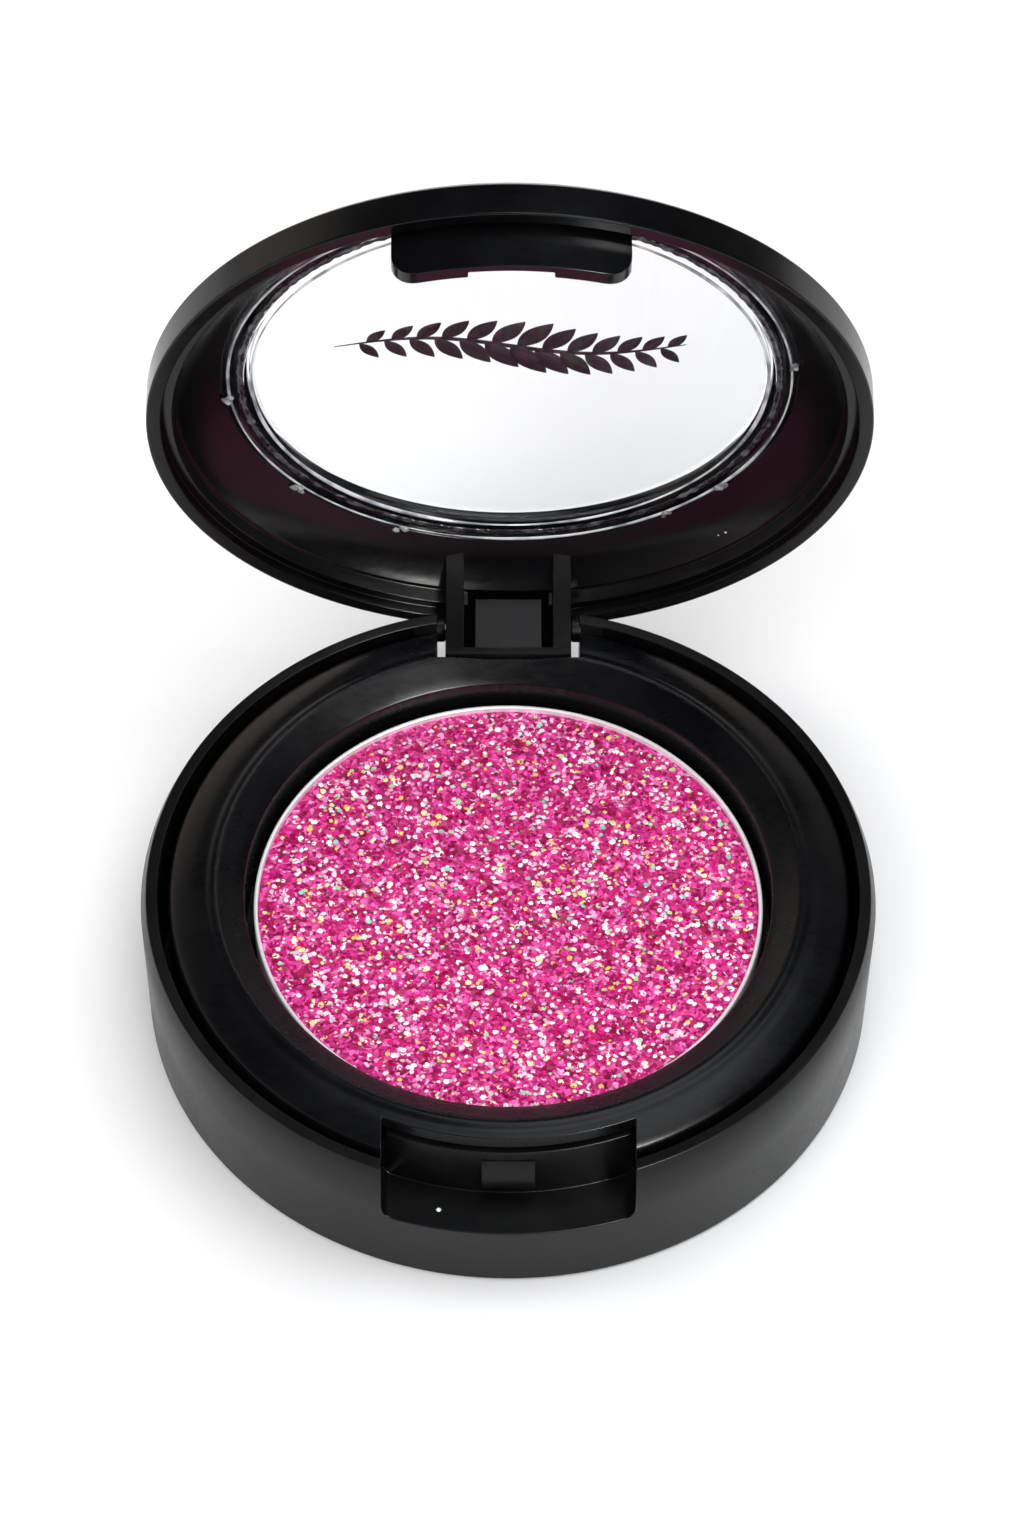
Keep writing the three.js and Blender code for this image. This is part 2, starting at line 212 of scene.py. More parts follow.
def banded(bands, ring=True):
    """A turned body whose profile changes from band to band round its axis.

    A column at share t of a band stands at angle a(t) = (1 - t) a0 + t a1, where a0 and a1 are the angles at
    which the band's two upright planes cut the circle of that point's reach: base + sign asin(x / reach). A
    point is (reach sin a, -reach cos a, height). A flat point has y = reach instead. Where two bands meet,
    the area between their profiles is closed by one flat face. Without ring, both ends are closed as well.
    """
    points, faces, ends, first = [], [], [], 0
    for start, end, shares, profile in bands:
        share = np.asarray(shares, float)[:, None]
        profile = rows_of(profile, len(share))
        reach, height, flat = profile[..., 0], profile[..., 1], profile[..., 2] > 0.5
        safe = np.maximum(reach, 12)
        from_angle = start[0] + start[1] * np.arcsin(start[2] / safe)
        to_angle = end[0] + end[1] * np.arcsin(end[2] / safe)
        angle = (1 - share) * from_angle + share * to_angle
        across = np.where(flat, (1 - share) * start[2] + share * end[2], reach * np.sin(angle))
        along = np.where(flat, reach, -reach * np.cos(angle))
        columns, rows = reach.shape
        points.append(np.stack([across, along, height], -1).reshape(-1, 3))
        index = first + np.arange(columns * rows).reshape(columns, rows)
        faces += quads(index[:-1, :-1], index[1:, :-1], index[1:, 1:], index[:-1, 1:])
        ends.append((index[0], index[-1]))
        first += columns * rows
    points = np.concatenate(points)
    meetings = [(ends[i][1], ends[i + 1][0]) for i in range(len(ends) - 1)]
    if ring:
        meetings.append((ends[-1][1], ends[0][0]))
    else:
        faces += [ends[0][0][:-1].tolist(), ends[-1][1][:-1].tolist()]
    for before, after in meetings:
        apart = np.flatnonzero(np.linalg.norm(points[before] - points[after], axis=1) > 1e-4)
        if len(apart):
            low, high = apart[0] - 1, apart[-1] + 1
            faces.append(before[low : high + 1].tolist() + after[low + 1 : high][::-1].tolist())
    return points, faces


def carried_across(outline, stations, limit=1e9):
    """An outline of [y, z] carried along X through the stations, held inside a circle of radius limit."""
    outline = np.asarray(outline, float)
    x = np.asarray(stations, float)[:, None] + np.zeros(len(outline))
    y = np.minimum(outline[:, 0], np.sqrt(np.maximum(limit**2 - x**2, 0)))
    points = np.stack([x, y, outline[:, 1] + 0 * x], -1).reshape(-1, 3)
    index = np.arange(points.shape[0]).reshape(x.shape)
    turned = np.roll(index, -1, axis=1)
    faces = quads(index[:-1], index[1:], turned[1:], turned[:-1])
    return points, faces + [index[0].tolist(), index[-1].tolist()]


def block(x0, x1, y0, y1, z0, z1):
    """A plain rectangular body, as an outline carried along X."""
    return carried_across([[y0, z0], [y1, z0], [y1, z1], [y0, z1]], [x0, x1])


def moulded(name, bodies, edge, place=None, smooth_angle=38):
    """One piece from closed bodies of (points, faces) in millimetres, with every sharp edge rounded by edge.

    Doubles are merged and faces turned outwards before the rounding, which takes the edges that turn by more
    than smooth_angle. place is the matrix that carries the piece from where it was drawn to where it stands.
    """
    points, faces, first = [], [], 0
    for body_points, body_faces in bodies:
        points.append(body_points)
        faces += [[first + i for i in face] for face in body_faces]
        first += len(body_points)
    raw = bpy.data.meshes.new(name)
    raw.from_pydata(np.concatenate(points).tolist(), [], faces)
    work = bmesh.new()
    work.from_mesh(raw)
    bmesh.ops.remove_doubles(work, verts=work.verts, dist=0.002)
    bmesh.ops.dissolve_degenerate(work, edges=work.edges, dist=0.001)
    bmesh.ops.recalc_face_normals(work, faces=work.faces)
    for face in work.faces:
        face.smooth = True
    work.to_mesh(raw)
    work.free()
    blank = bpy.data.objects.new(name + "_blank", raw)
    scene.collection.objects.link(blank)
    if edge:
        rounding = blank.modifiers.new("rounding", "BEVEL")
        rounding.width = edge
        rounding.segments = 2
        rounding.limit_method = "ANGLE"
        rounding.angle_limit = np.radians(smooth_angle)
        rounding.use_clamp_overlap = False
        rounding.harden_normals = True
        rounding.miter_outer = "MITER_ARC"
    finished = bpy.data.meshes.new_from_object(
        blank.evaluated_get(bpy.context.evaluated_depsgraph_get())
    )
    bpy.data.objects.remove(blank)
    finished.transform(place or Matrix.Identity(4))
    finished.transform(Matrix.Scale(0.001, 4))
    finished.name = name
    piece = bpy.data.objects.new(name, finished)
    scene.collection.objects.link(piece)
    return piece


def wall_at(height):
    """Radius of the base's outer wall, which leans out by 0.3 mm from foot to rim."""
    return 25.7 + 0.3 * (np.asarray(height) - 0.25) / 10.05


foot = [[0, 0.25, 0], [17.5, 0.25, 0], [17.5, 0, 0], [25.45, 0, 0], [25.7, 0.25, 0]]
rim = [[BASE_RADIUS, 10.3, 0], [25.62, BASE_HEIGHT, 0], [RIM_INNER, BASE_HEIGHT, 0]]

# The notch's lower corners are quarter rounds, so the ledge rises towards both of its ends.
corner_turn = np.radians([0, 12, 25, 38.682, 52, 65, 78, 90])
corner_x = NOTCH_HALF - NOTCH_CORNER + NOTCH_CORNER * np.sin(corner_turn)
corner_z = NOTCH_LEDGE + NOTCH_CORNER - NOTCH_CORNER * np.cos(corner_turn)
BACK_WALL_HALF = corner_x[3]
wide_x = np.concatenate([-corner_x[3::-1], np.linspace(-7.6, 7.6, 33), corner_x[:4]])
wide_z = np.concatenate([corner_z[3::-1], np.full(33, float(NOTCH_LEDGE)), corner_z[:4]])


def notch_profile(ledge, wall_top):
    """Profile columns inside the thumb notch, for an array of ledge heights and one top of its back wall."""
    ledge = np.asarray(ledge, float)
    columns = [[*point[:2]] for point in foot]
    columns += [[wall_at(ledge), ledge]] * 2 + [[25.62, ledge], [25.2, ledge], [24.4, ledge]]
    columns += [[NOTCH_WALL, ledge], [NOTCH_WALL, ROOM_TOP], [NOTCH_WALL, wall_top]]
    columns += [[NOTCH_BACK, wall_top], [NOTCH_BACK, ROOM_TOP], [NOTCH_BACK, CUP_FLOOR], [0, CUP_FLOOR]]
    reach = np.stack([c[0] + 0 * ledge for c in columns], -1)
    height = np.stack([c[1] + 0 * ledge for c in columns], -1)
    return np.stack([reach, height, 0 * reach], -1)


room_wall = foot + [[wall_at(NOTCH_TOP), NOTCH_TOP, 0]] + rim + [[RIM_INNER, ROOM_TOP, 0]]
room_wall += [[NOTCH_WALL, ROOM_TOP, 0]] * 3 + [[NOTCH_BACK, ROOM_TOP, 0]] * 2
room_wall += [[NOTCH_BACK, CUP_FLOOR, 0], [0, CUP_FLOOR, 0]]
ear = foot + [[wall_at(SLOT_FLOOR), SLOT_FLOOR, 0]] + rim + [[23.45, 10, 1], [23.2, EAR_TOP, 1]]
ear += [[SLOT_FRONT, EAR_TOP, 1]] * 3 + [[SLOT_FRONT, SLOT_FLOOR, 1]]
ear += [[SLOT_FRONT, CUP_FLOOR, 1], [0, CUP_FLOOR, 0]]
hinge_slot = foot + [[wall_at(SLOT_FLOOR), SLOT_FLOOR, 0]] * 2
hinge_slot += [[25.4, SLOT_FLOOR, 0], [25.0, SLOT_FLOOR, 0]]
hinge_slot += [[24.0, SLOT_FLOOR, 1], [23.0, SLOT_FLOOR, 1]] + [[SLOT_FRONT, SLOT_FLOOR, 1]] * 4
hinge_slot += [[SLOT_FRONT, CUP_FLOOR, 1], [0, CUP_FLOOR, 0]]
around = np.linspace(0, 1, 151)
plain_base = np.array(
    foot + [[0, 0, 0]] + rim + [[RIM_INNER, ROOM_TOP, 0]] + [[RIM_INNER, CUP_FLOOR, 0]] * 5
    + [[0, CUP_FLOOR, 0], [0, CUP_FLOOR, 0]], float
)
plain_base = np.repeat(plain_base[None], len(around), 0)
# Two points slide along the plain side, from their place beside the notch to their place at the ear.
WALL_POINT = 5
FLOOR_POINT = 15
plain_base[:, WALL_POINT, 1] = NOTCH_TOP + (SLOT_FLOOR - NOTCH_TOP) * around
plain_base[:, WALL_POINT, 0] = wall_at(plain_base[:, WALL_POINT, 1])
plain_base[:, FLOOR_POINT, 0] = NOTCH_BACK + (np.hypot(SLOT_FRONT, EAR_HALF) - NOTCH_BACK) * around

few = np.linspace(0, 1, 4)
side_share = (corner_x[3:] - BACK_WALL_HALF) / (NOTCH_HALF - BACK_WALL_HALF)
wide_share = (wide_x / BACK_WALL_HALF + 1) / 2
left_end = notch_profile(corner_z[:2:-1], ROOM_TOP)
base_bands = [
    (front(-NOTCH_HALF), front(-BACK_WALL_HALF), 1 - side_share[::-1], left_end),
    (front(-BACK_WALL_HALF), front(BACK_WALL_HALF), wide_share, notch_profile(wide_z, NOTCH_WALL_TOP)),
    (front(BACK_WALL_HALF), front(NOTCH_HALF), side_share, notch_profile(corner_z[3:], ROOM_TOP)),
    (front(NOTCH_HALF), front(ROOM_HALF), few, room_wall),
    (front(ROOM_HALF), rear(EAR_HALF), around, plain_base),
    (rear(EAR_HALF), rear(SLOT_HALF), few, ear),
    (rear(SLOT_HALF), rear(-SLOT_HALF), np.linspace(0, 1, 25), hinge_slot),
    (rear(-SLOT_HALF), rear(-EAR_HALF), few, ear),
    (rear(-EAR_HALF), front_again(-ROOM_HALF), around, plain_base[::-1]),
    (front_again(-ROOM_HALF), front_again(-NOTCH_HALF), few, room_wall),
]
nib = carried_across(
    [[-22.95, 8.7], [-23.0, 7.4], [-21.85, 7.4], [-21.85, 9.8], [-22.47, 9.75]],
    np.linspace(-NIB_HALF, NIB_HALF, 5),
)
# A round boss on each ear, where the pin's end is held.
boss_turn = np.linspace(0, 2 * np.pi, 49)[:-1]
boss_ring = np.stack([BOSS_Y + BOSS_RADIUS * np.cos(boss_turn), BOSS_Z + BOSS_RADIUS * np.sin(boss_turn)], -1)
bosses = [carried_across(boss_ring, [side * face for face in BOSS_FACES]) for side in (-1, 1)]
base_shell = moulded(
    "base_shell_moulding", [banded(base_bands), nib, *bosses], EDGE_ROUND, smooth_angle=CRISP_ANGLE
)


def noise_at(paint, scale, detail):
    """Noise on the piece's Object coordinates, with that scale per metre and that many layers of detail."""
    nodes = paint.node_tree.nodes
    where = nodes.new("ShaderNodeTexCoord")
    noise = nodes.new("ShaderNodeTexNoise")
    noise.inputs["Scale"].default_value = scale
    noise.inputs["Detail"].default_value = detail
    paint.node_tree.links.new(where.outputs["Object"], noise.inputs["Vector"])
    return noise


def mottled(name, scale, detail, dark, light, low=0.0, high=1.0):
    """A paint whose colour follows noise: dark where the noise is at low, light where it is at high.

    Returns the paint, its shader and the noise, so that its polish and its relief can follow the same noise.
    """
    paint = bpy.data.materials.new(name)
    paint.use_nodes = True
    nodes, links = paint.node_tree.nodes, paint.node_tree.links
    shader = nodes["Principled BSDF"]
    noise = noise_at(paint, scale, detail)
    tone = nodes.new("ShaderNodeValToRGB")
    tone.color_ramp.elements[0].position = low
    tone.color_ramp.elements[0].color = (*dark, 1)
    tone.color_ramp.elements[1].position = high
    tone.color_ramp.elements[1].color = (*light, 1)
    links.new(noise.outputs["Fac"], tone.inputs["Fac"])
    links.new(tone.outputs["Color"], shader.inputs["Base Color"])
    return paint, shader, noise


def raised(paint, noise, strength, distance):
    """A fine relief on a paint: the noise stands up to distance metres high, at that strength."""
    nodes, links = paint.node_tree.nodes, paint.node_tree.links
    relief = nodes.new("ShaderNodeBump")
    relief.inputs["Strength"].default_value = strength
    relief.inputs["Distance"].default_value = distance
    links.new(noise.outputs["Fac"], relief.inputs["Height"])
    links.new(relief.outputs["Normal"], nodes["Principled BSDF"].inputs["Normal"])


def black_plastic(name, dark, light, roughness, grain, wear, ior):
    """Moulded black plastic.

    The colour drifts between dark and light, the polish varies in soft patches and along fine rubbing marks,
    and a fine spark-eroded grain stands a few microns high.
    """
    paint, shader, patches = mottled(name, 190, 3, dark, light, 0.35, 0.68)
    nodes, links = paint.node_tree.nodes, paint.node_tree.links
    shader.inputs["IOR"].default_value = ior
    where = nodes.new("ShaderNodeTexCoord")
    rubbing = nodes.new("ShaderNodeTexNoise")
    rubbing.inputs["Scale"].default_value = 1
    rubbing.inputs["Detail"].default_value = 4
    stretch = nodes.new("ShaderNodeMapping")
    stretch.inputs["Scale"].default_value = (700, 2600, 2600)
    stretch.inputs["Rotation"].default_value = (0.2, 0.1, 0.35)
    links.new(where.outputs["Object"], stretch.inputs["Vector"])
    links.new(stretch.outputs["Vector"], rubbing.inputs["Vector"])
    polish = nodes.new("ShaderNodeMapRange")
    polish.inputs["From Min"].default_value = 0.3
    polish.inputs["From Max"].default_value = 0.75
    polish.inputs["To Min"].default_value = roughness - wear
    polish.inputs["To Max"].default_value = roughness + wear
    both = nodes.new("ShaderNodeMath")
    both.operation = "MULTIPLY_ADD"
    both.inputs[1].default_value = 0.5
    half = nodes.new("ShaderNodeMath")
    half.operation = "MULTIPLY"
    half.inputs[1].default_value = 0.5
    links.new(patches.outputs["Fac"], half.inputs[0])
    links.new(rubbing.outputs["Fac"], both.inputs[0])
    links.new(half.outputs[0], both.inputs[2])
    links.new(both.outputs[0], polish.inputs["Value"])
    links.new(polish.outputs["Result"], shader.inputs["Roughness"])
    raised(paint, noise_at(paint, 9000, 2), grain, 0.00001)
    return paint


base_shell.data.materials.append(
    black_plastic("base_satin", (0.0020, 0.0022, 0.0026), (0.0036, 0.0038, 0.0042), 0.34, 0.30, 0.07, 1.31)
)
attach(base_shell, "base")
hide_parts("base_shell")

# ---- Tray insert ----
# A second black moulding dropped into the cup: a crowned deck that slopes to the rim, a soft bead, a short
# cone and the well for the pan. Its deck is cut back at the thumb notch and at the hinge block.
TRAY_RADIUS = 24.05
DECK_CUT = 22.06
DECK_UNDER = 9.9
LIP_UNDER = 10.95
SKIRT_CUT_HALF = 10.04
EAR_ROOM_HALF = 7.2
TUB_RADIUS = 19.65
LIP_RADIUS = 21
SKIRT_INNER = 22.95
SKIRT_FOOT = 1.55
UNCUT = 30
deck_reach = np.array([
    24.05, 23.97, 23.80, 23.5, 23.1, 22.7, 22.35, 22.06, 21.8, 21.6, 21.42,
    21.28, 21.12, 20.96, 20.8, 20.65, 20.5, 20.3, 20.0, 19.4, 18.8, 18.68,
])
deck_height = np.array([
    10.85, 11.08, 11.22, 11.39, 11.58, 11.75, 11.88, 11.97, 12.02, 12.05, 12.08,
    12.14, 12.23, 12.28, 12.30, 12.28, 12.21, 12.08, 11.90, 11.53, 11.16, 11.05,
])
WELL = [[18.65, 6.6], [0, 6.6]]


def deck_at(reach):
    """Height of the deck's top at a radius, read along the drawn curve."""
    return np.interp(reach, deck_reach[::-1], deck_height[::-1])


def tray_profile(under, cut, columns):
    """Profile columns of the tray: the underside, then the deck held inside the radius cut, then the well."""
    cut = np.broadcast_to(np.asarray(cut, float), (columns,))[:, None]
    reach = np.minimum(deck_reach, cut)
    height = np.where(deck_reach > cut, deck_at(cut), deck_height)
    under = rows_of(under, columns)
    well = rows_of(WELL, columns)
    reach = np.concatenate([under[..., 0], reach, well[..., 0]], 1)
    height = np.concatenate([under[..., 1], height, well[..., 1]], 1)
    return np.stack([reach, height, 0 * reach], -1)


slot_corner = float(np.hypot(SLOT_FRONT, SLOT_HALF))
tub = [[0, 5.6], [TUB_RADIUS, 5.6], [TUB_RADIUS, DECK_UNDER]]
lip = tub + [[LIP_RADIUS, DECK_UNDER], [LIP_RADIUS, LIP_UNDER], [21.4, LIP_UNDER], [DECK_CUT, LIP_UNDER]]
bare = [[SKIRT_INNER, DECK_UNDER], [SKIRT_INNER, DECK_UNDER], [TRAY_RADIUS, DECK_UNDER]]
skirt = [[SKIRT_INNER, DECK_UNDER], [SKIRT_INNER, SKIRT_FOOT], [TRAY_RADIUS, SKIRT_FOOT]]
front_side = tray_profile(tub + [[LIP_RADIUS, DECK_UNDER]] + bare, UNCUT, len(few))
rear_side = tray_profile(tub + [[slot_corner, DECK_UNDER]] + bare, UNCUT, len(few))
full_under = np.repeat(np.array(tub + [[0, DECK_UNDER]] + skirt, float)[None], len(around), 0)
full_under[:, 3, 0] = LIP_RADIUS + (slot_corner - LIP_RADIUS) * around
plain_tray = tray_profile(full_under, UNCUT, len(around))
slot_share = np.linspace(0, 1, 25)
slot_cut = np.hypot(SLOT_FRONT, SLOT_HALF * (1 - 2 * slot_share))
slot_under = np.repeat(np.array(tub + [[0, DECK_UNDER]] * 4, float)[None], len(slot_share), 0)
slot_under[:, 3:, 0] = slot_cut[:, None]
lip_share = np.linspace(0, 1, 45)
tray_bands = [
    (front(-NOTCH_HALF), front(NOTCH_HALF), lip_share, tray_profile(lip, DECK_CUT, len(lip_share))),
    (front(NOTCH_HALF), front(SKIRT_CUT_HALF), few, front_side),
    (front(SKIRT_CUT_HALF), rear(EAR_ROOM_HALF), around, plain_tray),
    (rear(EAR_ROOM_HALF), rear(SLOT_HALF), few, rear_side),
    (rear(SLOT_HALF), rear(-SLOT_HALF), slot_share, tray_profile(slot_under, slot_cut, len(slot_share))),
    (rear(-SLOT_HALF), rear(-EAR_ROOM_HALF), few, rear_side),
    (rear(-EAR_ROOM_HALF), front_again(-SKIRT_CUT_HALF), around, plain_tray[::-1]),
    (front_again(-SKIRT_CUT_HALF), front_again(-NOTCH_HALF), few, front_side),
]
tray = moulded("tray_moulding", [banded(tray_bands)], 0.07)
tray.data.materials.append(
    black_plastic("tray_satin", (0.0016, 0.0018, 0.0023), (0.0030, 0.0032, 0.0039), 0.30, 0.28, 0.08, 1.32)
)
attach(tray, "base")
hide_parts("tray_insert")

# ---- Pan ----
# A 36 mm dish of thin drawn aluminium with a bright rolled rim. It is stuck to the well's floor with a round
# of adhesive film.
PAN_RADIUS = 18.05
PAN_RIM = 9.47


def turned(profile, columns=256):
    """A closed profile of [radius, height] turned once round the axis."""
    profile = [[*point[:2], 0] for point in profile]
    return banded([((0.0, 1.0, 0.0), (2 * np.pi, 1.0, 0.0), np.linspace(0, 1, columns + 1), profile)])


pan_outside = [[0, 6.9], [17.6, 6.9], [17.85, 6.97], [18.0, 7.15], [PAN_RADIUS, 7.4], [PAN_RADIUS, 9.36]]
pan_rolled = [[18.02, 9.43], [17.95, PAN_RIM], [17.84, PAN_RIM], [17.77, 9.43]]
pan_inside = [[17.75, 9.36], [17.75, 7.4], [17.6, 7.2], [0, 7.2]]
pan = moulded("pan_dish", [turned(pan_outside + pan_rolled + pan_inside)], 0)
pan_metal, shader, drawn = mottled("drawn_aluminium", 2600, 4, (0.90, 0.90, 0.91), (0.97, 0.96, 0.96))
nodes, links = pan_metal.node_tree.nodes, pan_metal.node_tree.links
shader.inputs["Metallic"].default_value = 0.35
polish = nodes.new("ShaderNodeMapRange")
polish.inputs["To Min"].default_value = 0.28
polish.inputs["To Max"].default_value = 0.45
links.new(drawn.outputs["Fac"], polish.inputs["Value"])
links.new(polish.outputs["Result"], shader.inputs["Roughness"])
pan.data.materials.append(pan_metal)
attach(pan, "base")
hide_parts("pan")

# ---- Pressed glitter ----
# Magenta pigment and glitter pressed into the pan: a lumpy bed, thousands of small pink foil flakes lying in
# it at all angles, and fewer bright ones in white, pale gold, green and orange.
GLITTER_RADIUS = 17.72
FLAKE_REACH = 17.35
BED_TOP = 9.24
BED_FALL = 0.20
BED_UNDER = 7.25
BED_COLUMNS = 384
wave_rng = np.random.default_rng(11)
wave_length = wave_rng.uniform(0.5, 2.4, 48)
wave_way = wave_rng.uniform(0, 2 * np.pi, 48)
wave_start = wave_rng.uniform(0, 2 * np.pi, 48)
wave_high = 0.010 * wave_length**0.7


def bed_height(x, y):
    """Height of the pressed bed: level, falling at the edge, plus the sum of 48 small cosine waves."""
    across = x[..., None] * np.cos(wave_way) + y[..., None] * np.sin(wave_way)
    ripple = (wave_high * np.cos(2 * np.pi * across / wave_length + wave_start)).sum(-1)
    reach = np.hypot(x, y) / GLITTER_RADIUS
    return BED_TOP - BED_FALL * reach**8 + ripple * (1 - reach**10)


def bed_patch(x, y):
    """Dark and light patches 1 to 3 mm across, from -1 to 1: the stretched mean of 12 longer cosine waves."""
    way, start, length = wave_way[:12], wave_start[12:24], 1.2 + 1.1 * wave_length[24:36]
    across = x[..., None] * np.cos(way) + y[..., None] * np.sin(way)
    return np.clip(np.cos(2 * np.pi * across / length + start).mean(-1) * 3.2, -1, 1)


ring_share = np.sqrt(np.linspace(0, 1, 96))
bed_reach = GLITTER_RADIUS * ring_share
bed_angle = np.linspace(0, 2 * np.pi, BED_COLUMNS + 1)[:-1]
bed_x = bed_reach[:, None] * np.cos(bed_angle)
bed_y = bed_reach[:, None] * np.sin(bed_angle)
bed_z = bed_height(bed_x, bed_y)
bed_top = np.stack([bed_x, bed_y, bed_z], -1)
under_rim = bed_top[-1:] * [1, 1, 0] + [0, 0, BED_UNDER]
bed_grid = np.concatenate([bed_top, under_rim, under_rim * [0, 0, 1]])
index = np.arange(bed_grid.shape[0] * BED_COLUMNS).reshape(-1, BED_COLUMNS)
turned_index = np.roll(index, -1, axis=1)
bed_faces = quads(index[:-1], index[1:], turned_index[1:], turned_index[:-1])
bed = moulded("glitter_bed", [(bed_grid.reshape(-1, 3), bed_faces)], 0)
pigment = bpy.data.materials.new("pressed_pigment")
pigment.use_nodes = True
nodes, links = pigment.node_tree.nodes, pigment.node_tree.links
shader = nodes["Principled BSDF"]
shader.inputs["Metallic"].default_value = 0.25
shader.inputs["Roughness"].default_value = 0.42
where = nodes.new("ShaderNodeTexCoord")
grains = nodes.new("ShaderNodeTexVoronoi")
grains.inputs["Scale"].default_value = 4300
links.new(where.outputs["Object"], grains.inputs["Vector"])
pick = nodes.new("ShaderNodeSeparateColor")
links.new(grains.outputs["Color"], pick.inputs["Color"])
tone = nodes.new("ShaderNodeValToRGB")
tone.color_ramp.elements[0].position = 0.0
tone.color_ramp.elements[0].color = (0.30, 0.002, 0.07, 1)
tone.color_ramp.elements[1].position = 1.0
tone.color_ramp.elements[1].color = (0.95, 0.48, 0.72, 1)
for position, colour in (
    (0.20, (0.42, 0.004, 0.11, 1)),
    (0.45, (0.62, 0.010, 0.20, 1)),
    (0.68, (0.76, 0.030, 0.32, 1)),
    (0.88, (0.86, 0.14, 0.48, 1)),
):
    tone.color_ramp.elements.new(position).color = colour
links.new(pick.outputs["Red"], tone.inputs["Fac"])
links.new(tone.outputs["Color"], shader.inputs["Base Color"])
tilt = nodes.new("ShaderNodeVectorMath")
tilt.operation = "SUBTRACT"
tilt.inputs[1].default_value = (0.5, 0.5, 0.5)
links.new(grains.outputs["Color"], tilt.inputs[0])
facing = nodes.new("ShaderNodeNewGeometry")
lean = nodes.new("ShaderNodeVectorMath")
lean.operation = "MULTIPLY_ADD"
lean.inputs[1].default_value = (0.8, 0.8, 0.3)
links.new(tilt.outputs["Vector"], lean.inputs[0])
links.new(facing.outputs["Normal"], lean.inputs[2])
level = nodes.new("ShaderNodeVectorMath")
level.operation = "NORMALIZE"
links.new(lean.outputs["Vector"], level.inputs[0])
links.new(level.outputs["Vector"], shader.inputs["Normal"])
bed.data.materials.append(pigment)
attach(bed, "base")
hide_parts("pressed_glitter")


def flakes(name, count, seed, small, large, lean_most, lift, tints, shares):
    """Closed six-sided foil flakes scattered over the bed.

    Each is a plate 0.03 mm thick whose corners stand at 0.85 to 1.15 times its radius, tilted by up to
    lean_most about a random level axis, with its centre lift above the bed. A colour attribute holds each
    flake's tint: tints run in order with their shares, and the patches of the bed push the pick towards
    either end of that order.
    """
    rng = np.random.default_rng(seed)
    reach = FLAKE_REACH * np.sqrt(rng.random(count))
    bearing = rng.uniform(0, 2 * np.pi, count)
    centre = np.stack([reach * np.cos(bearing), reach * np.sin(bearing)], -1)
    size = rng.uniform(small, large, count) / 2
    corner = np.arange(6) * np.pi / 3 + rng.uniform(0, np.pi, count)[:, None]
    radius = size[:, None] * rng.uniform(0.85, 1.15, (count, 6))
    flat = np.stack([radius * np.cos(corner), radius * np.sin(corner) * 0.9, 0 * radius], -1)
    thick = np.array([0.015, -0.015])[None, :, None]
    plate = np.repeat(flat[:, None], 2, 1)
    plate[..., 2] += thick
    turn, slope = rng.uniform(0, 2 * np.pi, count), lean_most * np.sqrt(rng.random(count))
    c, s = np.cos(turn)[:, None, None], np.sin(turn)[:, None, None]
    x, y, z = (plate[..., i] for i in range(3))
    x, y = c * x - s * y, s * x + c * y
    cs, ss = np.cos(slope)[:, None, None], np.sin(slope)[:, None, None]
    y, z = cs * y - ss * z, ss * y + cs * z
    x, y = c * x + s * y, -s * x + c * y
    place_z = bed_height(centre[:, 0], centre[:, 1]) + rng.uniform(*lift, count)
    place = np.stack([centre[:, 0], centre[:, 1], place_z], -1)
    points = np.stack([x, y, z], -1) + place[:, None, None]
    points = points.reshape(-1, 3) * 0.001
    around_plate = np.arange(6)
    after = np.roll(around_plate, -1)
    sides = np.stack([around_plate, around_plate + 6, after + 6, after], -1)
    start = np.arange(count)[:, None, None] * 12
    side_faces = (start + sides).reshape(-1, 4).tolist()
    top = (start[:, 0] + around_plate).tolist()
    bottom = (start[:, 0] + around_plate[::-1] + 6).tolist()
    mesh = bpy.data.meshes.new(name)
    mesh.from_pydata(points.tolist(), [], side_faces + top + bottom)
    tint = mesh.color_attributes.new("tint", "FLOAT_COLOR", "POINT")
    patch = bed_patch(centre[:, 0], centre[:, 1])
    pick = np.searchsorted(np.cumsum(shares)[:-1], np.clip(rng.random(count) + 0.22 * patch, 0, 1))
    chosen = np.asarray(tints, float)[pick]
    chosen = np.clip(chosen * rng.uniform(0.8, 1.2, (count, 1)), 0, 1)
    colours = np.concatenate([np.repeat(chosen, 12, 0), np.ones((count * 12, 1))], 1)
    tint.data.foreach_set("color", colours.ravel())
    piece = bpy.data.objects.new(name, mesh)
    scene.collection.objects.link(piece)
    return piece


def foil(name, metal, roughness):
    """Metallised film in the flake's own tint."""
    paint = bpy.data.materials.new(name)
    paint.use_nodes = True
    nodes, links = paint.node_tree.nodes, paint.node_tree.links
    shader = nodes["Principled BSDF"]
    shader.inputs["Metallic"].default_value = metal
    shader.inputs["Roughness"].default_value = roughness
    tint = nodes.new("ShaderNodeAttribute")
    tint.attribute_name = "tint"
    links.new(tint.outputs["Color"], shader.inputs["Base Color"])
    return paint


